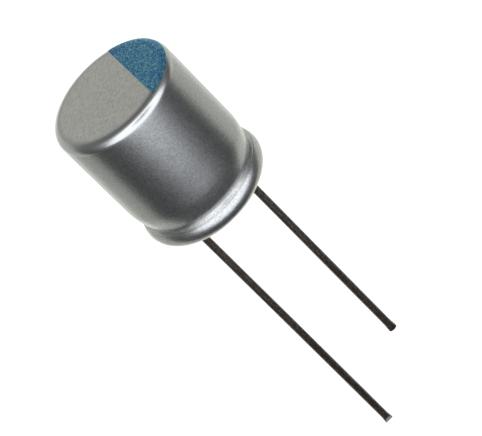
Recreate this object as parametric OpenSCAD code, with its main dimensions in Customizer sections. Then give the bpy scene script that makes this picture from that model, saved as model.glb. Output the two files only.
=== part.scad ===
// Radial-lead aluminium polymer capacitor in a bare can.
// The origin is on the can's axis, in the plane where its rolled edge seats on a board.
// +Z runs up the can. The leads run down, the anode at -X and the cathode at +X, under the mark.

/* [Can] */
// Outside diameter of the straight wall
can_d = 10; // [9.4:0.1:12.5]
// Height of the can above the board
can_h = 11.7; // [10.5:0.1:20]
// Thickness of the drawn wall
wall_t = 0.3; // [0.2:0.05:0.4]
// Outside radius of the edge round the top
top_edge_r = 0.6; // [0.45:0.05:1.2]

/* [Crimp] */
// How far the bead stands out past the straight wall
bead_proud = 0.08; // [0:0.01:0.15]
// Outside radius of the bead's section
bead_arc_r = 1; // [0.7:0.05:1.05]
// Depth of the groove below the straight wall
groove_depth = 0.5; // [0.35:0.05:0.6]
// Radius of the groove where it turns up to the shoulder
groove_arc_r = 0.2; // [0.1:0.05:0.8]
// Height of the groove above the bead's widest line
groove_rise = 0.95; // [0.95:0.05:1.6]
// Height of the shoulder above the groove
shoulder_rise = 1.8; // [0.9:0.05:2.4]
// Width of the flat on the rolled edge that meets the board
seat_land = 0.2; // [0.1:0.05:0.4]
// Angle through which the edge is rolled in past that flat
curl_turn = 35; // [20:5:60]
// Angle of the crease above the bead's widest line
crease_angle = 37; // [20:1:48]
// Depth of the crease
crease_depth = 0.03; // [0.01:0.01:0.06]
// Width of the crease
crease_w = 0.14; // [0.06:0.02:0.2]

/* [Polarity mark] */
// Distance from the axis to the mark's straight edge
mark_edge = 2; // [0.5:0.1:3]
// Angle down the top edge that the mark reaches
mark_wrap = 36; // [0:9:63]
// Thickness of the ink
mark_t = 0.03; // [0.02:0.01:0.05]

/* [Rubber seal] */
// Height of the seal's outer face above the board
seal_recess = 0.35; // [0.25:0.05:0.6]
// Thickness of the seal
seal_t = 3; // [2.5:0.1:4]

/* [Leads] */
// Distance between the two leads
lead_pitch = 5; // [3.5:0.1:5.5]
// Diameter of a lead
lead_d = 0.6; // [0.45:0.05:0.8]
// Length of the anode's lead below the board plane
anode_lead_len = 26; // [3:0.5:30]
// Length of the cathode's lead below the board plane
cathode_lead_len = 20; // [3:0.5:30]
// Diameter of the weld where a lead meets its tab
weld_d = 1; // [0.9:0.05:1.2]
// Length of the slanting face that the cutter leaves on a lead
cut_face_len = 0.38; // [0.2:0.02:0.5]
// Angle between that face and the lead
cut_angle = 35; // [20:1:45]

/* [Tabs] */
// Diameter of a tab's round boss, which fills its hole in the seal
boss_d = 1.3; // [1.2:0.05:1.5]
// Height of a boss's lower end above the seal's outer face
boss_recess = 0.4; // [0.2:0.05:0.8]
// Height of a boss above the seal's inner face
boss_rise = 0.25; // [0.1:0.05:0.4]
// Width of a tab's flat blade
blade_w = 1.6; // [1.2:0.1:2]
// Thickness of a blade at its root
blade_root_t = 0.3; // [0.2:0.05:0.5]
// Length of blade that is welded to its foil
blade_grip = 4.5; // [2:0.1:4.8]

/* [Winding] */
// Diameter of the hollow left by the winding spindle
core_d = 1.5; // [1:0.1:2]
// Thickness of the anode foil
anode_foil_t = 0.13; // [0.1:0.01:0.2]
// Thickness of the cathode foil
cathode_foil_t = 0.08; // [0.05:0.01:0.15]
// Thickness of a separator
separator_t = 0.07; // [0.05:0.01:0.12]
// Gap between one layer and the next
layer_gap = 0.02; // [0.01:0.01:0.04]
// Thickness of the tape round the outside
tape_t = 0.05; // [0.03:0.01:0.1]
// Width of the tape
tape_w = 4.6; // [2:0.1:4.8]
// Gap between the winding and the can's wall
roll_gap = 0.2; // [0.1:0.05:0.5]
// Height of the winding above the seal
roll_lift = 0.8; // [0.6:0.05:1.2]
// Gap between the winding and the can's top
head_gap = 0.5; // [0.3:0.05:1]
// How far the separators reach past the foils at each end
foil_margin = 0.3; // [0.2:0.05:0.5]
// Gap between the root of a blade and the winding
root_gap = 0.1; // [0.05:0.05:0.2]

/* [Hidden] */
$fn = 96;
arc_step = 9;
past = 1;

can_r = can_d / 2;
lead_r = lead_d / 2;
boss_r = boss_d / 2;
core_r = core_d / 2;
lead_x = lead_pitch / 2;

// Heights of the crimp, from the board up
bead_r = can_r + bead_proud;
bead_z = bead_arc_r;
groove_r = can_r - groove_depth;
groove_z = bead_z + groove_rise;
shoulder_z = groove_z + shoulder_rise;

// Two arcs that leave two upright lines side by side and meet in one slope:
// the sum of their radii, and the angle that each of them turns through
function reverse_sum(across, up) = (across * across + up * up) / (2 * across);
function reverse_turn(across, up) = atan2(up, reverse_sum(across, up) - across);

bead_step = bead_r - groove_r;
shoulder_arc_r = reverse_sum(groove_depth, shoulder_rise) - groove_arc_r;
shoulder_turn = reverse_turn(groove_depth, shoulder_rise);
groove_foot_r = reverse_sum(bead_step, groove_rise) - bead_arc_r;
bead_turn = reverse_turn(bead_step, groove_rise);
crease_half = asin(crease_w / 2 / bead_arc_r);

bead_centre = [bead_r - bead_arc_r, bead_z];
curl_centre = bead_centre - [seat_land, 0];
curl_end = -90 - curl_turn;

// Heights inside the can
seal_top = seal_recess + seal_t;
boss_z = seal_recess + boss_recess;
boss_top = seal_top + boss_rise;
roll_z = seal_top + roll_lift;
separator_w = can_h - wall_t - head_gap - roll_z;
foil_z = roll_z + foil_margin;
foil_w = separator_w - 2 * foil_margin;
blade_z = roll_z - root_gap;
blade_top = foil_z + blade_grip;

// Each layer's place in one turn, from the spindle out, and the number of turns that fit
anode_foil_at = 0;
inner_separator_at = anode_foil_at + anode_foil_t + layer_gap;
cathode_foil_at = inner_separator_at + separator_t + layer_gap;
outer_separator_at = cathode_foil_at + cathode_foil_t + layer_gap;
turn_pitch = outer_separator_at + separator_t + layer_gap;
roll_r = can_r - wall_t - roll_gap;
turns = floor((roll_r - tape_t - core_r) / turn_pitch - 0.5);

// Half turns are numbered from the spindle out: the even ones are on the anode's side.
// A blade is on the half turn that lies nearest above its lead.
anode_half = 2 * round((lead_x - core_r - anode_foil_at - anode_foil_t / 2) / turn_pitch);
cathode_half = 2 * round(
    (lead_x - core_r - cathode_foil_at - cathode_foil_t / 2 - turn_pitch / 2) / turn_pitch
) + 1;

function polar(r, a) = r * [cos(a), sin(a)];
function arc(centre, r, from, to) =
    let (steps = ceil(abs(to - from) / arc_step))
    [for (i = [0 : steps]) centre + polar(r, from + (to - from) * i / steps)];
function after_first(points) = [for (i = [1 : len(points) - 1]) points[i]];
function reversed(points) = [for (i = [len(points) - 1 : -1 : 0]) points[i]];

// The can's section from the axis out, down and round its rolled edge, set in from its outside.
// The crease is pressed into the outside only.
function skin(inset, crease) = concat(
    [[0, can_h - inset]],
    arc([can_r - top_edge_r, can_h - top_edge_r], top_edge_r - inset, 90, 0),
    arc([can_r - shoulder_arc_r, shoulder_z], shoulder_arc_r - inset, 0, -shoulder_turn),
    after_first(arc([groove_r + groove_arc_r, groove_z], groove_arc_r + inset, 180 - shoulder_turn, 180)),
    after_first(arc([groove_r + groove_foot_r, groove_z], groove_foot_r + inset, 180, 180 + bead_turn)),
    after_first(arc(bead_centre, bead_arc_r - inset, bead_turn, crease_angle + crease_half)),
    [bead_centre + polar(bead_arc_r - inset - crease, crease_angle)],
    arc(bead_centre, bead_arc_r - inset, crease_angle - crease_half, -90),
    arc(curl_centre, bead_arc_r - inset, -90, curl_end)
);

// The two corners of the rolled edge's cut end
curl_tip = curl_centre + polar(bead_arc_r, curl_end);
curl_tip_inside = curl_centre + polar(bead_arc_r - wall_t, curl_end);

// The space inside the can, down to the end of the rolled edge
module cavity_section() {
    polygon(concat(skin(wall_t, 0), [curl_tip, [0, curl_tip.y]]));
}

// Drawn aluminium can: groove rolled in round the seal, edge curled in under it
module case() {
    color("#b5b4b0")
    rotate_extrude()
        polygon(concat(skin(0, crease_depth), reversed(skin(wall_t, 0))));
}

// Ink that marks the cathode's side of the top, a little way over its edge
module polarity_mark() {
    edge_centre = [can_r - top_edge_r, can_h - top_edge_r];
    low = arc(edge_centre, top_edge_r, 90, 90 - mark_wrap);
    high = arc(edge_centre, top_edge_r + mark_t, 90, 90 - mark_wrap);
    color("#2a6f95")
    intersection() {
        rotate_extrude()
            polygon(concat([[0, can_h]], low, reversed(high), [[0, can_h + mark_t]]));
        translate([mark_edge, -can_d, can_h - top_edge_r])
            cube([can_d, 2 * can_d, top_edge_r + mark_t + past]);
    }
}

// Rubber seal: takes the can's inside, squeezed by the groove and held by the rolled edge
module seal() {
    color("#2c2b2b")
    difference() {
        rotate_extrude()
            difference() {
                cavity_section();
                translate([0, seal_top])
                    square(can_h);
                translate([0, seal_recess - past])
                    square([curl_tip_inside.x, past]);
            }
        for (side = [-1, 1])
            translate([side * lead_x, 0, -past])
                cylinder(r = boss_r, h = seal_top + 2 * past);
    }
}

// Half a turn of one layer. The two sides turn about centres half a pitch apart,
// so each half ends where the next begins.
module half_turn(half, at, t, z, w) {
    anode_side = half % 2 == 0;
    translate([0, anode_side ? -turn_pitch / 2 : 0, z])
        rotate([0, 0, anode_side ? 90 : -90])
            rotate_extrude(angle = 180)
                translate([core_r + at + half * turn_pitch / 2, 0])
                    square([t, w]);
}

module layer(first, last, at, t, z, w) {
    for (half = [first : last])
        half_turn(half, at, t, z, w);
}

// The stretch of a layer that a blade covers, from the given height up
module blade_area(half, at, t, z) {
    intersection() {
        half_turn(half, at, t, z, blade_top - z);
        translate([-can_r, -blade_w / 2, z])
            cube([can_d, blade_w, blade_top - z]);
    }
}

// A foil: one half turn shorter than the separators at each end, and cut away
// where its tab's blade is cold-welded into it
module foil(half, at, t) {
    difference() {
        layer(1, 2 * turns - 2, at, t, foil_z, foil_w);
        blade_area(half, at - layer_gap / 2, t + layer_gap, foil_z - past);
    }
}

module separator(at) {
    color("#b9ac92")
    layer(0, 2 * turns - 1, at, separator_t, roll_z, separator_w);
}

module anode_foil() {
    color("#9b9a97") foil(anode_half, anode_foil_at, anode_foil_t);
}

module cathode_foil() {
    color("#c3c2be") foil(cathode_half, cathode_foil_at, cathode_foil_t);
}

module inner_separator() {
    separator(inner_separator_at);
}

module outer_separator() {
    separator(outer_separator_at);
}

// One turn of tape that closes the winding
module winding_tape() {
    color("#c79a4b")
    layer(2 * turns, 2 * turns + 1, 0, tape_t, roll_z + (separator_w - tape_w) / 2, tape_w);
}

// Aluminium tab: a round boss through the seal, pressed flat above it into a blade
module tab(side, half, at, t) {
    // The blade's place between the two arcs' centres, seen from its lead
    blade_x = side * (core_r + at + t / 2 + half * turn_pitch / 2 - lead_x);
    translate([side * lead_x, 0, boss_z])
        cylinder(r = boss_r, h = boss_top - boss_z);
    translate([side * lead_x, 0, 0])
        intersection() {
            translate([0, 0, boss_top])
                cylinder(r1 = boss_r, r2 = blade_w / 2, h = blade_z - boss_top);
            rotate([90, 0, 0])
                linear_extrude(height = 2 * blade_w, center = true)
                    polygon([
                        [-boss_r, boss_top],
                        [boss_r, boss_top],
                        [blade_x + blade_root_t / 2, blade_z],
                        [blade_x - blade_root_t / 2, blade_z]
                    ]);
        }
    blade_area(half, at, t, blade_z);
}

module anode_tab() {
    color("#cfcfcc") tab(-1, anode_half, anode_foil_at, anode_foil_t);
}

module cathode_tab() {
    color("#cfcfcc") tab(1, cathode_half, cathode_foil_at, cathode_foil_t);
}

// Tinned steel lead, butt-welded to its tab. The cutter slants one side of its tip.
module lead(side, length, cut_turn) {
    color("#56524c")
    translate([side * lead_x, 0, 0]) {
        cylinder(r1 = lead_r, r2 = weld_d / 2, h = boss_z);
        translate([0, 0, -length])
            difference() {
                cylinder(r = lead_r, h = length);
                rotate([0, 0, cut_turn])
                    cut_wedge();
            }
    }
}

// What the cutter takes off: all outside a slanting plane on the -Y side of a tip at Z = 0
module cut_wedge() {
    reach = -lead_r + cut_face_len * tan(cut_angle);
    rotate([90, 0, 90])
        linear_extrude(height = 2 * lead_d, center = true)
            polygon([
                [reach, 0],
                [reach, -past],
                [-lead_d, -past],
                [-lead_d, cut_face_len + lead_r / tan(cut_angle)]
            ]);
}

module anode_lead() {
    lead(-1, anode_lead_len, 0);
}

module cathode_lead() {
    lead(1, cathode_lead_len, 180);
}

case();
polarity_mark();
seal();
anode_foil();
cathode_foil();
inner_separator();
outer_separator();
winding_tape();
anode_tab();
cathode_tab();
anode_lead();
cathode_lead();
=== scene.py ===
"""Looks of a radial aluminium polymer capacitor: bare rolled can, blue mark, rubber seal, dull tinned leads.

The can is a turned form made by geometry nodes from its named sizes, and each lead is a wire drawn along a
line. All is in metres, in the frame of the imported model, with +Z up the can and the leads running down.
"""

import math

import bmesh
import bpy
from mathutils import Matrix, Vector


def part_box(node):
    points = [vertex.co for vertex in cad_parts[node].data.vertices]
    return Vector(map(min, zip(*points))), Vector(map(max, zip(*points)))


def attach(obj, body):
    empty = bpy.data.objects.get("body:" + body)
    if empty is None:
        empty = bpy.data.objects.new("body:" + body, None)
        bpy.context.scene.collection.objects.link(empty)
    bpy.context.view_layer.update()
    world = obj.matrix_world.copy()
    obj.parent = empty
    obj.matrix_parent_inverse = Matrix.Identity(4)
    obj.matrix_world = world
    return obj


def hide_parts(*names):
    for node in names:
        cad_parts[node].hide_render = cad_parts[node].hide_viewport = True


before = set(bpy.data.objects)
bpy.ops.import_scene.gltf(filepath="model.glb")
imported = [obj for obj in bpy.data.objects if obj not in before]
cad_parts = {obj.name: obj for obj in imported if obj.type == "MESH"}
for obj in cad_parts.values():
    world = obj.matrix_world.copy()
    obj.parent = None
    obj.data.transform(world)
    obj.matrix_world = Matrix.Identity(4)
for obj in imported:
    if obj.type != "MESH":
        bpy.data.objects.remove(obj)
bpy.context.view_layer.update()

MM = 0.001
TINY = 1e-7

# What the frame gives: the bead's radius and the can's height
CASE_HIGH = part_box("case")[1]
BEAD_R = CASE_HIGH.x
CAN_H = CASE_HIGH.z

# Sizes of the can's section. The groove is a little shallower than the solid's, with gentler slopes, because
# its light in the photo asks for them.
CAN = {
    "Bead radius": BEAD_R,
    "Height": CAN_H,
    "Bead proud": 0.08 * MM,
    "Top edge radius": 0.6 * MM,
    "Bead arc radius": 1.0 * MM,
    "Groove depth": 0.35 * MM,
    "Groove arc radius": 0.1 * MM,
    "Groove rise": 0.85 * MM,
    "Shoulder rise": 2.0 * MM,
    "Seat land": 0.2 * MM,
    "Curl turn": math.radians(35),
    "Crease angle": math.radians(37),
    "Crease half width": math.radians(4),
    "Crease depth": 0.03 * MM,
    "Segments": 192,
}
WALL_T = 0.3 * MM
CAN_R = BEAD_R - CAN["Bead proud"]
EDGE_R = CAN["Top edge radius"]
FLAT_R = CAN_R - EDGE_R

# The mark: its straight edge, how far the pad wrapped it over the rounded edge, the tilt of the pad, which
# leaves less of a wrap near the straight edge, and the ink's thickness
MARK_EDGE = 2.0 * MM
MARK_WRAP = math.radians(44)
MARK_TILT = math.radians(3)
INK_T = 0.03 * MM

# How finely the mark is drawn: points along its flat, along its wrap, and round the axis
MARK_FLAT_POINTS = 16
MARK_WRAP_POINTS = 10
MARK_STEPS = 256

# A lead's wire, and how finely it is drawn round and along
WIRE_R = 0.3 * MM
WIRE_SIDES = 40
WIRE_RINGS = 150

# What the cutter does to a tip: the share by which it presses the wire wide and flat, over what length, and
# the slant and height of the cut face. The flat end beside it faces down by more than DOWNWARD.
FLARE = 0.14
FLARE_LENGTH = 0.9 * MM
CUT_ANGLE = math.radians(30)
CUT_FACE = 0.6 * MM
DOWNWARD = -0.99

# How far each lead bows out of line at its tip, towards +X
LONG_BOW = -0.05 * MM
SHORT_BOW = 0.0

# How round the moulded seal's edges are, and the least turn of a face that counts as such an edge. Faces that
# turn by less than SEAL_FLAT are one flat face.
SEAL_ROUND = 0.06 * MM
SEAL_CORNER = math.radians(50)
SEAL_FLAT = math.radians(0.5)

# Edges that turn by more than this stay sharp: on the can, the mark and the seal, and on the leads
SHARP = math.radians(40)
LEAD_SHARP = math.radians(30)

# The camera, fitted to the photo: place, elevation, turn about the can, roll, and lens for a 36 mm sensor
CAMERA_AT = Vector((-0.373, -169.561, 111.460)) * MM
CAMERA_ELEVATION = math.radians(34.10)
CAMERA_AZIMUTH = math.radians(-0.23)
CAMERA_ROLL = math.radians(-45.07)
SENSOR = 36.0
LENS = 214.74
NEAREST_SEEN, FARTHEST_SEEN = 10 * MM, 10.0

# Finish of the aluminium: roughness and tint of the wall, of the burnished upper edge, of the rolled foot
# and of the brushed top
WALL_ROUGH, WALL_TINT = 0.31, "#c4c5c6"
EDGE_ROUGH, EDGE_TINT = 0.29, "#dbdcdd"
FOOT_ROUGH, FOOT_TINT = 0.32, "#d8d9da"
TOP_ROUGH, TOP_TINT = 0.42, "#f2f3ee"

# Where one finish turns into the next: heights on the foot, the wall, the upper edge and the top, and how far
# in from its edge the rolls burnished the top
FOOT_END, WALL_START = 2.9 * MM, 3.9 * MM
WALL_END, EDGE_START = 10.9 * MM, 11.2 * MM
EDGE_END, TOP_START = CAN_H - 0.004 * MM, CAN_H - 0.001 * MM
BURNISHED = 0.35 * MM

# The way the top was brushed, from +X
BRUSH_TURN = math.radians(21)

# Sizes of the marks in the surfaces. The grain, the lines and the specks are drawn several times coarser than
# the real ones, which are a few hundredths of a millimetre, so that they show at the photo's size.
METAL_GRAIN = 0.13 * MM
DIE_LINES = 0.2 * MM
ROLL_MARKS = 0.12 * MM
BRUSH_LINES = 0.08 * MM
INK_GRAIN = 0.11 * MM
WIRE_LINES = 0.12 * MM
WIRE_SPECKS = 0.16 * MM
BLADE_LINES = 0.05 * MM
PAPER_FIBRES = 2 * MM
CARD_FIBRES = 1 * MM

# How much lines are stretched along the way that they run: the die's along the wall, the brush's across the
# top, the die's along a lead, and the blade's across a cut face. EVEN leaves a pattern as it is.
EVEN = (1.0, 1.0, 1.0)
DIE_STRETCH = (1.0, 1.0, 0.04)
BRUSH_STRETCH = (0.3, 1.0, 1.0)
WIRE_STRETCH = (1.0, 1.0, 0.05)
BLADE_STRETCH = (1.0, 0.15, 0.15)

# The part of a noise's range that nearly all of it lies in
NOISE_SPAN = {"From Min": 0.3, "From Max": 0.7}

# The floor, and the middle of the can, which the lights face
FLOOR_Z = -60 * MM
FLOOR_SIZE = 4.0
FLOOR_GLOW = 0.9
LIT_MIDDLE = Vector((0, 0, 6 * MM))

# The lights: name, azimuth and elevation from the can in degrees, distance, width and height in mm, radiance
# and colour
LIGHTS = (
    ("key", 3.3, 18.5, 46.6, 151.2, 92.0, 1.45, "#f6faff"),
    ("overhead", -3.2, 62.9, 200, 494, 102, 0.63, "#fbfff4"),
    ("sweep_right", 154.9, -28.5, 400, 1167, 1045, 0.58, "#fcfff4"),
    ("sweep_left", -157.2, -25.4, 400, 1047, 1400, 0.47, "#fcfff4"),
)

# The dim lens in front of the key: azimuth and elevation in degrees, distance and radius in mm, and its glow
LENS_CARD = (10.5, 38.5, 43.3, 11.3)
LENS_GLOW = 0.35

# How bright the room is at eye level and below, and straight overhead
AIR_LOW, AIR_HIGH = 0.057, 0.156

MATH = "ShaderNodeMath"


def add(tree, kind, inputs=None, **settings):
    """Adds a node with its settings.

    An input is a plain value, a socket, or a node, which gives its first output.
    """
    node = tree.nodes.new(kind)
    for name, value in settings.items():
        setattr(node, name, value)
    for name, value in (inputs or {}).items():
        if isinstance(value, bpy.types.Node):
            value = value.outputs[0]
        if isinstance(value, bpy.types.NodeSocket):
            tree.links.new(value, node.inputs[name])
        else:
            node.inputs[name].default_value = value
    return node


def linear(colour):
    """An sRGB hex colour as the linear red, green, blue and alpha that the sockets take."""
    parts = [int(colour[i:i + 2], 16) / 255 for i in (1, 3, 5)]
    return [p / 12.92 if p <= 0.04045 else ((p + 0.055) / 1.055) ** 2.4 for p in parts] + [1.0]


def per(size):
    """The scale of a pattern whose features are this size in metres."""
    return 1 / size


def new_tree(name, sizes):
    """A geometry tree with one named input for each size and one for the material, and its input node."""
    tree = bpy.data.node_groups.new(name, "GeometryNodeTree")
    for size, value in sizes.items():
        kind = "NodeSocketInt" if isinstance(value, int) else "NodeSocketFloat"
        tree.interface.new_socket(size, in_out="INPUT", socket_type=kind)
    tree.interface.new_socket("Material", in_out="INPUT", socket_type="NodeSocketMaterial")
    tree.interface.new_socket("Mesh", in_out="OUTPUT", socket_type="NodeSocketGeometry")
    return tree, add(tree, "NodeGroupInput").outputs


def grow(name, tree, sizes, material):
    """Runs a geometry tree with these sizes and keeps its result as a plain mesh object."""
    seed = bpy.data.objects.new(name + ".seed", bpy.data.meshes.new(name + ".seed"))
    bpy.context.scene.collection.objects.link(seed)
    modifier = seed.modifiers.new(tree.name, "NODES")
    modifier.node_group = tree
    values = dict(sizes, Material=material)
    for item in tree.interface.items_tree:
        if item.in_out == "INPUT":
            modifier[item.identifier] = values[item.name]
    evaluated = seed.evaluated_get(bpy.context.evaluated_depsgraph_get())
    mesh = bpy.data.meshes.new_from_object(evaluated)
    bpy.data.objects.remove(seed)
    return new_piece(name, mesh, material)


def new_piece(name, mesh, material):
    """An object at the origin that shows this mesh in this material."""
    mesh.name = name
    mesh.materials.clear()
    mesh.materials.append(material)
    piece = bpy.data.objects.new(name, mesh)
    bpy.context.scene.collection.objects.link(piece)
    return piece


def apply_modifiers(piece):
    """Makes what a piece's modifiers give its own mesh."""
    evaluated = piece.evaluated_get(bpy.context.evaluated_depsgraph_get())
    mesh = bpy.data.meshes.new_from_object(evaluated)
    piece.modifiers.clear()
    piece.data = mesh
    mesh.name = piece.name


def smooth(piece, angle):
    """Shades a piece smooth, with the edges that turn by more than this angle left sharp."""
    piece.data.shade_smooth()
    piece.data.set_sharp_from_angle(angle=angle)


def can_tree():
    """The can's outside: a section of arcs and straights, turned about the can's axis."""
    tree, size = new_tree("Rolled can", CAN)

    can_r = add(tree, MATH, {0: size["Bead radius"], 1: size["Bead proud"]}, operation="SUBTRACT")
    groove_r = add(tree, MATH, {0: can_r, 1: size["Groove depth"]}, operation="SUBTRACT")
    bead_step = add(tree, MATH, {0: size["Bead radius"], 1: groove_r}, operation="SUBTRACT")
    bead_z = size["Bead arc radius"]
    groove_z = add(tree, MATH, {0: bead_z, 1: size["Groove rise"]}, operation="ADD")
    shoulder_z = add(tree, MATH, {0: groove_z, 1: size["Shoulder rise"]}, operation="ADD")
    edge_x = add(tree, MATH, {0: can_r, 1: size["Top edge radius"]}, operation="SUBTRACT")
    edge_z = add(tree, MATH, {0: size["Height"], 1: size["Top edge radius"]}, operation="SUBTRACT")
    bead_x = add(tree, MATH, {0: size["Bead radius"], 1: size["Bead arc radius"]}, operation="SUBTRACT")
    curl_x = add(tree, MATH, {0: bead_x, 1: size["Seat land"]}, operation="SUBTRACT")

    # Two arcs that join two upright lines across a step: the sum of their radii, and the angle of each
    radii, turns = {}, {}
    for bend, across, up, known in (
        ("shoulder", size["Groove depth"], size["Shoulder rise"], size["Groove arc radius"]),
        ("foot", bead_step, size["Groove rise"], size["Bead arc radius"]),
    ):
        across_twice = add(tree, MATH, {0: across, 1: across}, operation="ADD")
        across_square = add(tree, MATH, {0: across, 1: across}, operation="MULTIPLY")
        squares = add(tree, MATH, {0: up, 1: up, 2: across_square}, operation="MULTIPLY_ADD")
        both = add(tree, MATH, {0: squares, 1: across_twice}, operation="DIVIDE")
        apart = add(tree, MATH, {0: both, 1: across}, operation="SUBTRACT")
        radii[bend] = add(tree, MATH, {0: both, 1: known}, operation="SUBTRACT")
        turns[bend] = add(tree, MATH, {0: up, 1: apart}, operation="ARCTAN2")

    shoulder_x = add(tree, MATH, {0: can_r, 1: radii["shoulder"]}, operation="SUBTRACT")
    shoulder_back = add(tree, MATH, {0: turns["shoulder"], 1: -1.0}, operation="MULTIPLY")
    groove_x = add(tree, MATH, {0: groove_r, 1: size["Groove arc radius"]}, operation="ADD")
    groove_start = add(tree, MATH, {0: math.pi, 1: turns["shoulder"]}, operation="SUBTRACT")
    foot_x = add(tree, MATH, {0: groove_r, 1: radii["foot"]}, operation="ADD")
    bead_arc = size["Bead arc radius"]
    crease_at = size["Crease angle"]
    crease_high = add(tree, MATH, {0: crease_at, 1: size["Crease half width"]}, operation="ADD")
    crease_low = add(tree, MATH, {0: crease_at, 1: size["Crease half width"]}, operation="SUBTRACT")
    crease_floor = add(tree, MATH, {0: bead_arc, 1: size["Crease depth"]}, operation="SUBTRACT")
    bead_upper = add(tree, MATH, {0: crease_high, 1: turns["foot"]}, operation="SUBTRACT")
    bead_lower = add(tree, MATH, {0: -math.pi / 2, 1: crease_low}, operation="SUBTRACT")
    curl_back = add(tree, MATH, {0: size["Curl turn"], 1: -1.0}, operation="MULTIPLY")

    # The arcs: centre, radius, first angle, sweep and number of points
    section = []
    for x, z, radius, start, sweep, points in (
        (edge_x, edge_z, size["Top edge radius"], math.pi / 2, -math.pi / 2, 17),
        (shoulder_x, shoulder_z, radii["shoulder"], 0.0, shoulder_back, 13),
        (groove_x, groove_z, size["Groove arc radius"], groove_start, turns["shoulder"], 9),
        (foot_x, groove_z, radii["foot"], math.pi, turns["foot"], 13),
        (bead_x, bead_z, bead_arc, turns["foot"], bead_upper, 5),
        (bead_x, bead_z, bead_arc, crease_low, bead_lower, 25),
        (curl_x, bead_z, bead_arc, -math.pi / 2, curl_back, 9),
    ):
        bend = add(tree, "GeometryNodeCurveArc", {
            "Resolution": points, "Radius": radius,
            "Start Angle": start, "Sweep Angle": sweep}, mode="RADIUS")
        centre = add(tree, "ShaderNodeCombineXYZ", {"X": x, "Y": z})
        section.append(add(tree, "GeometryNodeTransform", {"Geometry": bend, "Translation": centre}))

    # The crease rolled into the bead: an arc through three points, sunk at the middle one
    bead_centre = add(tree, "ShaderNodeCombineXYZ", {"X": bead_x, "Y": bead_z})
    crease = []
    for radius, angle in ((bead_arc, crease_high), (crease_floor, crease_at), (bead_arc, crease_low)):
        x = add(tree, MATH, {0: bead_x, 1: radius}, operation="ADD")
        point = add(tree, "ShaderNodeCombineXYZ", {"X": x, "Y": bead_z})
        crease.append(add(tree, "ShaderNodeVectorRotate", {
            "Vector": point, "Center": bead_centre, "Angle": angle}, rotation_type="Z_AXIS"))
    section.append(add(tree, "GeometryNodeCurveArc", {
        "Resolution": 9, "Start": crease[0], "Middle": crease[1], "End": crease[2]}, mode="POINTS"))

    # The straights: first and last point, and number of points
    for start_x, start_z, end_x, end_z, points in (
        (0.0, size["Height"], edge_x, size["Height"], 25),
        (can_r, edge_z, can_r, shoulder_z, 17),
        (bead_x, 0.0, curl_x, 0.0, 2),
    ):
        start = add(tree, "ShaderNodeCombineXYZ", {"X": start_x, "Y": start_z})
        end = add(tree, "ShaderNodeCombineXYZ", {"X": end_x, "Y": end_z})
        line = add(tree, "GeometryNodeCurvePrimitiveLine", {"Start": start, "End": end}, mode="POINTS")
        section.append(add(tree, "GeometryNodeResampleCurve", {
            "Curve": line, "Count": points}, mode="COUNT"))

    whole = add(tree, "GeometryNodeJoinGeometry")
    for part in section:
        tree.links.new(part.outputs[0], whole.inputs[0])
    inward = add(tree, MATH, {0: size["Bead radius"], 1: -1.0}, operation="MULTIPLY")
    to_path = add(tree, "ShaderNodeCombineXYZ", {"X": inward})
    placed = add(tree, "GeometryNodeTransform", {
        "Geometry": whole, "Translation": to_path, "Scale": (1.0, -1.0, 1.0)})
    path = add(tree, "GeometryNodeCurvePrimitiveCircle", {
        "Resolution": size["Segments"], "Radius": size["Bead radius"]}, mode="RADIUS")
    swept = add(tree, "GeometryNodeCurveToMesh", {"Curve": path, "Profile Curve": placed})
    closed = add(tree, "GeometryNodeMergeByDistance", {"Geometry": swept, "Distance": TINY})
    real = add(tree, "GeometryNodeRealizeInstances", {"Geometry": closed})
    dressed = add(tree, "GeometryNodeSetMaterial", {"Geometry": real, "Material": size["Material"]})
    add(tree, "NodeGroupOutput", {"Mesh": dressed})
    return tree


def make_case(material):
    """The can, given its wall's thickness inwards."""
    case = grow("rolled_can", can_tree(), CAN, material)
    wall = case.modifiers.new("Wall", "SOLIDIFY")
    wall.thickness = WALL_T
    wall.offset = -1
    wall.use_even_offset = True
    apply_modifiers(case)
    smooth(case, SHARP)
    return case


def turned(name, outline, steps):
    """A closed mesh: an outline that runs round a solid, as radius and height pairs, turned about Z."""
    form = bmesh.new()
    verts = [form.verts.new((r, 0, z)) for r, z in outline]
    edges = [form.edges.new((a, b)) for a, b in zip(verts, verts[1:] + verts[:1])]
    bmesh.ops.spin(
        form, geom=verts + edges, axis=(0, 0, 1), cent=(0, 0, 0), angle=2 * math.pi, steps=steps)
    bmesh.ops.remove_doubles(form, verts=form.verts, dist=TINY)
    bmesh.ops.recalc_face_normals(form, faces=form.faces)
    mesh = bpy.data.meshes.new(name)
    form.to_mesh(mesh)
    form.free()
    return mesh


def arc(x, z, radius, start, end, steps):
    """Points of an arc of a section, with both its ends."""
    angles = [start + (end - start) * i / steps for i in range(steps + 1)]
    return [(x + radius * math.cos(a), z + radius * math.sin(a)) for a in angles]


def cut(mesh, at, outward, face_material=0):
    """Cuts a closed mesh by a plane, drops what is outside, and closes the cut in this material slot."""
    form = bmesh.new()
    form.from_mesh(mesh)
    geometry = form.verts[:] + form.edges[:] + form.faces[:]
    bmesh.ops.bisect_plane(
        form, geom=geometry, dist=TINY, plane_co=at, plane_no=outward, clear_outer=True)
    rim = [e for e in form.edges if e.is_boundary]
    for face in bmesh.ops.holes_fill(form, edges=rim)["faces"]:
        face.material_index = face_material
    bmesh.ops.recalc_face_normals(form, faces=form.faces)
    form.to_mesh(mesh)
    form.free()


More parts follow.
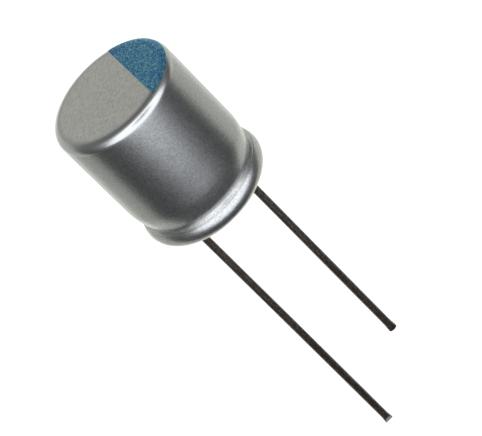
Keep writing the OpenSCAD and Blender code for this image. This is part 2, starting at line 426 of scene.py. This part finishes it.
def make_mark(material):
    """The ink: a thin skin on one side of the top that wraps a little way over the rounded edge."""
    edge_z = CAN_H - EDGE_R
    top, low = math.pi / 2, math.pi / 2 - MARK_WRAP
    flat = [FLAT_R * i / MARK_FLAT_POINTS for i in range(MARK_FLAT_POINTS)]
    upper = [(r, CAN_H + INK_T) for r in flat]
    upper += arc(FLAT_R, edge_z, EDGE_R + INK_T, top, low, MARK_WRAP_POINTS)
    lower = arc(FLAT_R, edge_z, EDGE_R, low, top, MARK_WRAP_POINTS)
    lower += [(r, CAN_H) for r in reversed(flat)]
    mesh = turned("printed_mark", upper + lower, MARK_STEPS)
    cut(mesh, (MARK_EDGE, 0, 0), (-1, 0, 0))
    # The slanted lower edge of the wrap starts just under the flat skin's underside
    cut(mesh, (MARK_EDGE, 0, CAN_H - INK_T / 4), (-math.sin(MARK_TILT), 0, -math.cos(MARK_TILT)))
    mark = new_piece("printed_mark", mesh, material)
    smooth(mark, SHARP)
    return mark


def lead_sizes(node, bow):
    """The sizes of one lead: its place and length from the frame, and the wire's own."""
    low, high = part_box(node)
    return {
        "Place": (low.x + high.x) / 2,
        "Length": -low.z,
        "Wire radius": WIRE_R,
        "Weld radius": (high.x - low.x) / 2,
        "Weld height": high.z,
        "Flare": FLARE,
        "Flare length": FLARE_LENGTH,
        "Bow": bow,
        "Rings": WIRE_RINGS,
        "Sides": WIRE_SIDES,
    }


def lead_tree(sizes):
    """A wire along a line: wider at its weld, pressed flat and wide at its tip, and bowed to one side."""
    tree, size = new_tree("Drawn lead", sizes)
    place_along = add(tree, "GeometryNodeInputPosition")
    along = add(tree, "ShaderNodeSeparateXYZ", {"Vector": place_along})
    tip_z = add(tree, MATH, {0: size["Length"], 1: -1.0}, operation="MULTIPLY")
    flare_z = add(tree, MATH, {0: tip_z, 1: size["Flare length"]}, operation="ADD")

    weld_end = add(tree, "ShaderNodeCombineXYZ", {"Z": size["Weld height"]})
    tip_end = add(tree, "ShaderNodeCombineXYZ", {"Z": tip_z})
    line = add(tree, "GeometryNodeCurvePrimitiveLine", {"Start": weld_end, "End": tip_end}, mode="POINTS")
    path = add(tree, "GeometryNodeResampleCurve", {"Curve": line, "Count": size["Rings"]}, mode="COUNT")
    radius = add(tree, "ShaderNodeMapRange", {
        "Value": along.outputs["Z"], "From Min": 0.0, "From Max": size["Weld height"],
        "To Min": size["Wire radius"], "To Max": size["Weld radius"]}, interpolation_type="SMOOTHSTEP")
    ring = add(tree, "GeometryNodeCurvePrimitiveCircle", {
        "Resolution": size["Sides"], "Radius": 1.0}, mode="RADIUS")
    wire = add(tree, "GeometryNodeCurveToMesh", {
        "Curve": path, "Profile Curve": ring, "Scale": radius, "Fill Caps": True})

    flare = add(tree, "ShaderNodeMapRange", {
        "Value": along.outputs["Z"], "From Min": tip_z, "From Max": flare_z,
        "To Min": size["Flare"], "To Max": 0.0}, interpolation_type="SMOOTHSTEP")
    pinch = add(tree, MATH, {0: flare, 1: -1.0}, operation="MULTIPLY")
    widen = add(tree, MATH, {0: along.outputs["X"], 1: flare}, operation="MULTIPLY")
    narrow = add(tree, MATH, {0: along.outputs["Y"], 1: pinch}, operation="MULTIPLY")
    share = add(tree, MATH, {0: along.outputs["Z"], 1: size["Length"]}, operation="DIVIDE")
    below = add(tree, MATH, {0: share, 1: 0.0}, operation="MINIMUM")
    square = add(tree, MATH, {0: below, 1: below}, operation="MULTIPLY")
    bowed = add(tree, MATH, {0: square, 1: size["Bow"], 2: widen}, operation="MULTIPLY_ADD")
    shifted = add(tree, MATH, {0: bowed, 1: size["Place"]}, operation="ADD")
    offset = add(tree, "ShaderNodeCombineXYZ", {"X": shifted, "Y": narrow})
    shaped = add(tree, "GeometryNodeSetPosition", {"Geometry": wire, "Offset": offset})
    real = add(tree, "GeometryNodeRealizeInstances", {"Geometry": shaped})
    dressed = add(tree, "GeometryNodeSetMaterial", {"Geometry": real, "Material": size["Material"]})
    add(tree, "NodeGroupOutput", {"Mesh": dressed})
    return tree


def make_lead(name, node, bow, cut_side, material, cut_material):
    """A lead with its cut tip, which the cutter slanted on the -Y side where cut_side is -1."""
    sizes = lead_sizes(node, bow)
    lead = grow(name, lead_tree(sizes), sizes, material)
    lead.data.materials.append(cut_material)
    tip = Vector((sizes["Place"], 0, -sizes["Length"]))
    reach = WIRE_R - CUT_FACE * math.tan(CUT_ANGLE)
    outward = Vector((0, cut_side * math.cos(CUT_ANGLE), -math.sin(CUT_ANGLE)))
    cut(lead.data, tip + Vector((0, cut_side * reach, 0)), outward, face_material=1)
    # What the slant leaves of the wire's flat end is cut steel too
    for face in lead.data.polygons:
        if face.normal.z < DOWNWARD and face.center.z < tip.z + TINY:
            face.material_index = 1
    smooth(lead, LEAD_SHARP)
    return lead


def make_seal(material):
    """The rubber seal: the solid's own shape, with the edges of the moulding rounded."""
    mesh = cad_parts["seal"].data.copy()
    form = bmesh.new()
    form.from_mesh(mesh)
    bmesh.ops.remove_doubles(form, verts=form.verts, dist=TINY)
    # Flat faces lose the edges across them, so that the rounding meets real corners only
    bmesh.ops.dissolve_limit(form, angle_limit=SEAL_FLAT, verts=form.verts, edges=form.edges)
    form.to_mesh(mesh)
    form.free()
    seal = new_piece("moulded_seal", mesh, material)
    rounding = seal.modifiers.new("Moulded edges", "BEVEL")
    rounding.width = SEAL_ROUND
    rounding.segments = 3
    rounding.limit_method = "ANGLE"
    rounding.angle_limit = SEAL_CORNER
    apply_modifiers(seal)
    smooth(seal, SHARP)
    return seal


def new_material(name):
    """A node material: itself, its empty tree, and the Object coordinates that its patterns read."""
    material = bpy.data.materials.new(name)
    material.use_nodes = True
    material.node_tree.nodes.clear()
    place = add(material.node_tree, "ShaderNodeTexCoord").outputs["Object"]
    return material, material.node_tree, place


def drawn_aluminium():
    """Bare aluminium, drawn and rolled: a brushed flat top, edges burnished by the rolls and a satin wall.

    The satin wall spreads its highlight into a soft band with a fine grain, the top looks pale and even, and
    the burnished edges show narrow bright lines.
    """
    material, tree, place = new_material("drawn_aluminium_satin")
    at = add(tree, "ShaderNodeSeparateXYZ", {"Vector": place})
    across = add(tree, "ShaderNodeCombineXYZ", {"X": at.outputs["X"], "Y": at.outputs["Y"]})
    radius = add(tree, "ShaderNodeVectorMath", {0: across}, operation="LENGTH")

    # Where the flat top, the burnished upper edge, the wall and the rolled foot are
    level = add(tree, "ShaderNodeMapRange", {
        "Value": at.outputs["Z"], "From Min": EDGE_END, "From Max": TOP_START})
    inside = add(tree, "ShaderNodeMapRange", {
        "Value": radius.outputs["Value"], "From Min": FLAT_R, "From Max": FLAT_R - BURNISHED})
    top = add(tree, MATH, {0: level, 1: inside}, operation="MULTIPLY")
    wall_low = add(tree, "ShaderNodeMapRange", {
        "Value": at.outputs["Z"],
        "From Min": FOOT_END, "From Max": WALL_START}, interpolation_type="SMOOTHSTEP")
    edge = add(tree, "ShaderNodeMapRange", {
        "Value": at.outputs["Z"],
        "From Min": WALL_END, "From Max": EDGE_START}, interpolation_type="SMOOTHSTEP")
    burnished = add(tree, MATH, {0: edge, 1: top}, operation="SUBTRACT")
    not_edge = add(tree, MATH, {0: 1.0, 1: burnished}, operation="SUBTRACT")
    not_high = add(tree, MATH, {0: 1.0, 1: edge}, operation="SUBTRACT")
    wall = add(tree, MATH, {0: wall_low, 1: not_high}, operation="MULTIPLY")

    # A fine even grain, on all but the burnished edge
    grain = add(tree, "ShaderNodeTexNoise", {
        "Vector": place, "Scale": per(METAL_GRAIN), "Detail": 3.0, "Roughness": 0.6})
    # Lines along the wall, left by the die
    along = add(tree, "ShaderNodeMapping", {"Vector": place, "Scale": DIE_STRETCH})
    lines = add(tree, "ShaderNodeTexNoise", {
        "Vector": along, "Scale": per(DIE_LINES), "Detail": 3.0, "Roughness": 0.6})
    # Marks round the can, left by the rolls
    round_at = add(tree, "ShaderNodeCombineXYZ", {"X": radius.outputs["Value"], "Y": at.outputs["Z"]})
    marks = add(tree, "ShaderNodeTexNoise", {
        "Vector": round_at, "Scale": per(ROLL_MARKS), "Detail": 2.0, "Roughness": 0.5})
    # Streaks across the top, left by the brush
    turned_top = add(tree, "ShaderNodeMapping", {"Vector": place, "Rotation": (0.0, 0.0, -BRUSH_TURN)})
    stretched = add(tree, "ShaderNodeMapping", {"Vector": turned_top, "Scale": BRUSH_STRETCH})
    streaks = add(tree, "ShaderNodeTexNoise", {
        "Vector": stretched, "Scale": per(BRUSH_LINES), "Detail": 2.0, "Roughness": 0.6})

    foot_up = add(tree, "ShaderNodeMix", {0: wall_low, 2: FOOT_ROUGH, 3: WALL_ROUGH}, data_type="FLOAT")
    edge_up = add(tree, "ShaderNodeMix", {0: edge, 2: foot_up, 3: EDGE_ROUGH}, data_type="FLOAT")
    rough = add(tree, "ShaderNodeMix", {0: top, 2: edge_up, 3: TOP_ROUGH}, data_type="FLOAT")
    grain_rough = add(tree, "ShaderNodeMapRange", {
        "Value": grain, **NOISE_SPAN, "To Min": -0.015, "To Max": 0.04})
    roughness = add(tree, MATH, {0: rough, 1: grain_rough}, operation="ADD")

    speck = add(tree, "ShaderNodeMapRange", {
        "Value": grain, **NOISE_SPAN, "To Min": 0.72, "To Max": 1.2})
    streak = add(tree, "ShaderNodeMapRange", {
        "Value": streaks, **NOISE_SPAN, "To Min": 0.76, "To Max": 1.26})
    even = add(tree, "ShaderNodeMix", {0: burnished, 2: speck, 3: 1.0}, data_type="FLOAT")
    pattern = add(tree, "ShaderNodeMix", {0: top, 2: even, 3: streak}, data_type="FLOAT")
    foot_tint = add(tree, "ShaderNodeMix", {
        0: wall_low, 6: linear(FOOT_TINT), 7: linear(WALL_TINT)}, data_type="RGBA")
    edge_tint = add(tree, "ShaderNodeMix", {
        0: edge, 6: foot_tint.outputs[2], 7: linear(EDGE_TINT)}, data_type="RGBA")
    metal = add(tree, "ShaderNodeMix", {
        0: top, 6: edge_tint.outputs[2], 7: linear(TOP_TINT)}, data_type="RGBA")
    colour = add(tree, "ShaderNodeVectorMath", {0: metal.outputs[2], "Scale": pattern}, operation="SCALE")

    on_wall = add(tree, "ShaderNodeMix", {0: wall, 2: marks, 3: lines}, data_type="FLOAT")
    relief = add(tree, "ShaderNodeMix", {0: top, 2: on_wall, 3: streaks}, data_type="FLOAT")
    calm = add(tree, MATH, {0: not_edge, 1: 0.3}, operation="MULTIPLY")
    fine = add(tree, "ShaderNodeBump", {"Strength": calm, "Distance": 0.004 * MM, "Height": grain})
    bump = add(tree, "ShaderNodeBump", {
        "Strength": calm, "Distance": 0.006 * MM, "Height": relief, "Normal": fine})
    shader = add(tree, "ShaderNodeBsdfPrincipled", {
        "Base Color": colour, "Metallic": 1.0, "Roughness": roughness, "Normal": bump})
    add(tree, "ShaderNodeOutputMaterial", {"Surface": shader})
    return material


def speckled_ink():
    """Blue pad-printed ink: a thin coat that lets the brushed metal shine through.

    It darkens as the metal does, and the metal's grain breaks it up into a fine speckle of blue and green.
    """
    material, tree, place = new_material("pad_printed_ink_thin")
    grain = add(tree, "ShaderNodeTexNoise", {
        "Vector": place, "Scale": per(INK_GRAIN), "Detail": 2.0, "Roughness": 0.7})
    colour = add(tree, "ShaderNodeValToRGB", {"Fac": grain})
    colour.color_ramp.elements[0].position = 0.34
    colour.color_ramp.elements[0].color = linear("#2a4fb0")
    colour.color_ramp.elements[1].position = 0.68
    colour.color_ramp.elements[1].color = linear("#b4f0dc")
    colour.color_ramp.elements.new(0.5).color = linear("#3f9bd0")
    bump = add(tree, "ShaderNodeBump", {"Strength": 0.5, "Distance": 0.006 * MM, "Height": grain})
    shader = add(tree, "ShaderNodeBsdfPrincipled", {
        "Base Color": colour, "Metallic": 0.8, "Roughness": 0.45, "Normal": bump})
    add(tree, "ShaderNodeOutputMaterial", {"Surface": shader})
    return material


def dull_tinned_steel():
    """Steel wire with a dull tin plating: dark, with lines along it and small brown and grey specks."""
    material, tree, place = new_material("tinned_steel_dull")
    along = add(tree, "ShaderNodeMapping", {"Vector": place, "Scale": WIRE_STRETCH})
    lines = add(tree, "ShaderNodeTexNoise", {
        "Vector": along, "Scale": per(WIRE_LINES), "Detail": 2.0, "Roughness": 0.5})
    specks = add(tree, "ShaderNodeTexNoise", {
        "Vector": place, "Scale": per(WIRE_SPECKS), "Detail": 3.0, "Roughness": 0.7})
    colour = add(tree, "ShaderNodeValToRGB", {"Fac": specks})
    colour.color_ramp.elements[0].position = 0.38
    colour.color_ramp.elements[0].color = linear("#7e716b")
    colour.color_ramp.elements[1].position = 0.62
    colour.color_ramp.elements[1].color = linear("#b4aaa2")
    colour.color_ramp.elements.new(0.52).color = linear("#938982")
    roughness = add(tree, "ShaderNodeMapRange", {
        "Value": lines, **NOISE_SPAN, "To Min": 0.28, "To Max": 0.42})
    bump = add(tree, "ShaderNodeBump", {"Strength": 0.4, "Distance": 0.008 * MM, "Height": lines})
    shader = add(tree, "ShaderNodeBsdfPrincipled", {
        "Base Color": colour, "Metallic": 1.0, "Roughness": roughness, "Normal": bump})
    add(tree, "ShaderNodeOutputMaterial", {"Surface": shader})
    return material


def sheared_steel():
    """The cut end of the wire: clean torn steel, which looks nearly as a matt grey does."""
    material, tree, place = new_material("sheared_steel_matt")
    torn = add(tree, "ShaderNodeMapping", {"Vector": place, "Scale": BLADE_STRETCH})
    lines = add(tree, "ShaderNodeTexNoise", {"Vector": torn, "Scale": per(BLADE_LINES), "Detail": 2.0})
    colour = add(tree, "ShaderNodeValToRGB", {"Fac": lines})
    colour.color_ramp.elements[0].color = linear("#6c6666")
    colour.color_ramp.elements[1].color = linear("#9a9391")
    bump = add(tree, "ShaderNodeBump", {"Strength": 0.3, "Distance": 0.01 * MM, "Height": lines})
    shader = add(tree, "ShaderNodeBsdfPrincipled", {
        "Base Color": colour, "Metallic": 0.3, "Roughness": 0.6, "Normal": bump})
    add(tree, "ShaderNodeOutputMaterial", {"Surface": shader})
    return material


def inner_material(name, dark, light, feature, stretch, metallic, roughness, relief):
    """A finish of a piece inside the can: two tones in a pattern of this size, stretched by these shares."""
    material, tree, place = new_material(name)
    drawn_out = add(tree, "ShaderNodeMapping", {"Vector": place, "Scale": stretch})
    grain = add(tree, "ShaderNodeTexNoise", {
        "Vector": drawn_out, "Scale": per(feature), "Detail": 4.0, "Roughness": 0.6})
    colour = add(tree, "ShaderNodeValToRGB", {"Fac": grain})
    colour.color_ramp.elements[0].position = 0.35
    colour.color_ramp.elements[0].color = linear(dark)
    colour.color_ramp.elements[1].position = 0.65
    colour.color_ramp.elements[1].color = linear(light)
    bump = add(tree, "ShaderNodeBump", {"Strength": 0.5, "Distance": relief, "Height": grain})
    shader = add(tree, "ShaderNodeBsdfPrincipled", {
        "Base Color": colour, "Metallic": metallic, "Roughness": roughness, "Normal": bump})
    add(tree, "ShaderNodeOutputMaterial", {"Surface": shader})
    return material


def make_floor():
    """A plain pale sweep well under the leads, bright enough to fall out white as in the photo."""
    material, tree, place = new_material("white_paper_matt")
    fibres = add(tree, "ShaderNodeTexNoise", {"Vector": place, "Scale": per(PAPER_FIBRES), "Detail": 3.0})
    colour = add(tree, "ShaderNodeValToRGB", {"Fac": fibres})
    colour.color_ramp.elements[0].color = linear("#f4f4f3")
    colour.color_ramp.elements[1].color = linear("#fbfbfa")
    shader = add(tree, "ShaderNodeBsdfPrincipled", {
        "Base Color": colour, "Roughness": 0.9,
        "Emission Color": linear("#ffffff"), "Emission Strength": FLOOR_GLOW})
    add(tree, "ShaderNodeOutputMaterial", {"Surface": shader})
    half = FLOOR_SIZE / 2
    mesh = bpy.data.meshes.new("floor")
    corners = [(x, y, FLOOR_Z) for x, y in ((-half, -half), (half, -half), (half, half), (-half, half))]
    mesh.from_pydata(corners, [], [(0, 1, 2, 3)])
    floor = new_piece("floor", mesh, material)
    floor.visible_glossy = False


def direction(azimuth, elevation):
    """The unit vector towards this azimuth, from -Y towards +X, and this elevation, both in degrees."""
    a, e = math.radians(azimuth), math.radians(elevation)
    return Vector((math.sin(a) * math.cos(e), -math.cos(a) * math.cos(e), math.sin(e)))


def add_light(name, azimuth, elevation, distance, width, height, radiance, colour):
    """A soft elliptical light that faces the middle of the can from this direction."""
    light = bpy.data.lights.new(name, "AREA")
    light.shape = "ELLIPSE"
    light.size = width * MM
    light.size_y = height * MM
    light.energy = radiance * math.pi * (math.pi / 4 * light.size * light.size_y)
    light.color = linear(colour)[:3]
    lamp = bpy.data.objects.new(name, light)
    toward = direction(azimuth, elevation)
    lamp.location = LIT_MIDDLE + toward * distance * MM
    lamp.rotation_euler = toward.to_track_quat("Z", "Y").to_euler()
    lamp.visible_camera = False
    bpy.context.scene.collection.objects.link(lamp)


def add_lens_card(azimuth, elevation, distance, radius):
    """The lens that looked on through the key light: a dim disc, a grey streak in the metal's highlights."""
    material, tree, place = new_material("dim_card_matt")
    fibres = add(tree, "ShaderNodeTexNoise", {"Vector": place, "Scale": per(CARD_FIBRES)})
    colour = add(tree, "ShaderNodeValToRGB", {"Fac": fibres})
    colour.color_ramp.elements[0].color = linear("#0a0a0a")
    colour.color_ramp.elements[1].color = linear("#141414")
    shader = add(tree, "ShaderNodeBsdfPrincipled", {
        "Base Color": colour, "Roughness": 0.9,
        "Emission Color": linear("#ffffff"), "Emission Strength": LENS_GLOW})
    add(tree, "ShaderNodeOutputMaterial", {"Surface": shader})
    toward = direction(azimuth, elevation)
    turn = toward.to_track_quat("Z", "Y").to_matrix().to_4x4()
    form = bmesh.new()
    bmesh.ops.create_circle(
        form, cap_ends=True, segments=48, radius=radius * MM,
        matrix=Matrix.Translation(LIT_MIDDLE + toward * distance * MM) @ turn)
    mesh = bpy.data.meshes.new("lens_card")
    form.to_mesh(mesh)
    form.free()
    card = new_piece("lens_card", mesh, material)
    card.visible_camera = False


def add_air():
    """The dim room round the can, a little lighter overhead."""
    world = bpy.data.worlds.new("room")
    world.use_nodes = True
    tree = world.node_tree
    tree.nodes.clear()
    seen = add(tree, "ShaderNodeTexCoord").outputs["Generated"]
    up = add(tree, "ShaderNodeSeparateXYZ", {"Vector": seen})
    glow = add(tree, "ShaderNodeMapRange", {
        "Value": up.outputs["Z"], "To Min": AIR_LOW, "To Max": AIR_HIGH})
    air = add(tree, "ShaderNodeBackground", {"Color": linear("#ffffff"), "Strength": glow})
    add(tree, "ShaderNodeOutputWorld", {"Surface": air})
    bpy.context.scene.world = world


def add_camera():
    """The camera as it stood for the photo: above the can's side, and rolled about its own line of sight."""
    camera = bpy.data.objects.new("camera", bpy.data.cameras.new("camera"))
    camera.data.sensor_width = SENSOR
    camera.data.lens = LENS
    camera.data.clip_start = NEAREST_SEEN
    camera.data.clip_end = FARTHEST_SEEN
    back = direction(math.degrees(CAMERA_AZIMUTH), math.degrees(CAMERA_ELEVATION))
    right = Vector((math.cos(CAMERA_AZIMUTH), math.sin(CAMERA_AZIMUTH), 0))
    up = back.cross(right)
    c, s = math.cos(CAMERA_ROLL), math.sin(CAMERA_ROLL)
    columns = Matrix((c * right + s * up, c * up - s * right, back)).transposed()
    camera.matrix_world = Matrix.Translation(CAMERA_AT) @ columns.to_4x4()
    bpy.context.scene.collection.objects.link(camera)
    bpy.context.scene.camera = camera


can_metal = drawn_aluminium()
lead_metal = dull_tinned_steel()
cut_metal = sheared_steel()

# Finishes of the seal and inside the can: matt black rubber, two dull etched foils, papers browned by the
# polymer, a smooth amber film, and plain pressed metal with lines along it
rubber = inner_material(
    "moulded_rubber_matt", "#0f0f0f", "#1c1b1a", 0.3 * MM, EVEN, 0.0, 0.65, 0.01 * MM)
anode_metal = inner_material(
    "etched_formed_foil", "#4b4b49", "#686865", 0.12 * MM, EVEN, 0.6, 0.75, 0.006 * MM)
cathode_metal = inner_material(
    "etched_foil", "#8a8a88", "#a5a5a2", 0.12 * MM, EVEN, 0.8, 0.65, 0.004 * MM)
separator_paper = inner_material(
    "polymer_soaked_paper", "#1d1812", "#3a3026", 0.25 * MM, EVEN, 0.0, 0.85, 0.01 * MM)
tape_film = inner_material(
    "polyimide_film_gloss", "#8a4f12", "#a9661c", 0.8 * MM, (1.0, 1.0, 0.2), 0.0, 0.25, 0.002 * MM)
tab_metal = inner_material(
    "pressed_aluminium", "#a9aaa8", "#c3c4c2", 0.2 * MM, (1.0, 1.0, 0.1), 1.0, 0.4, 0.004 * MM)

can = make_case(can_metal)
mark = make_mark(speckled_ink())
seal = make_seal(rubber)
long_lead = make_lead("long_lead", "anode_lead", LONG_BOW, -1, lead_metal, cut_metal)
short_lead = make_lead("short_lead", "cathode_lead", SHORT_BOW, 1, lead_metal, cut_metal)

for piece, node, slot in (
    (can, "case", "can_aluminium"),
    (mark, "polarity_mark", "mark_ink"),
    (seal, "seal", "seal_rubber"),
    (long_lead, "anode_lead", "lead_wire"),
    (short_lead, "cathode_lead", "lead_wire"),
):
    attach(piece, "root")
    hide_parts(node)

for node, material in (
    ("anode_foil", anode_metal),
    ("cathode_foil", cathode_metal),
    ("inner_separator", separator_paper),
    ("outer_separator", separator_paper),
    ("winding_tape", tape_film),
    ("anode_tab", tab_metal),
    ("cathode_tab", tab_metal),
):
    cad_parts[node].material_slots[0].material = material

make_floor()
for light in LIGHTS:
    add_light(*light)
add_lens_card(*LENS_CARD)
add_air()
add_camera()

bpy.context.scene.view_settings.view_transform = "Standard"
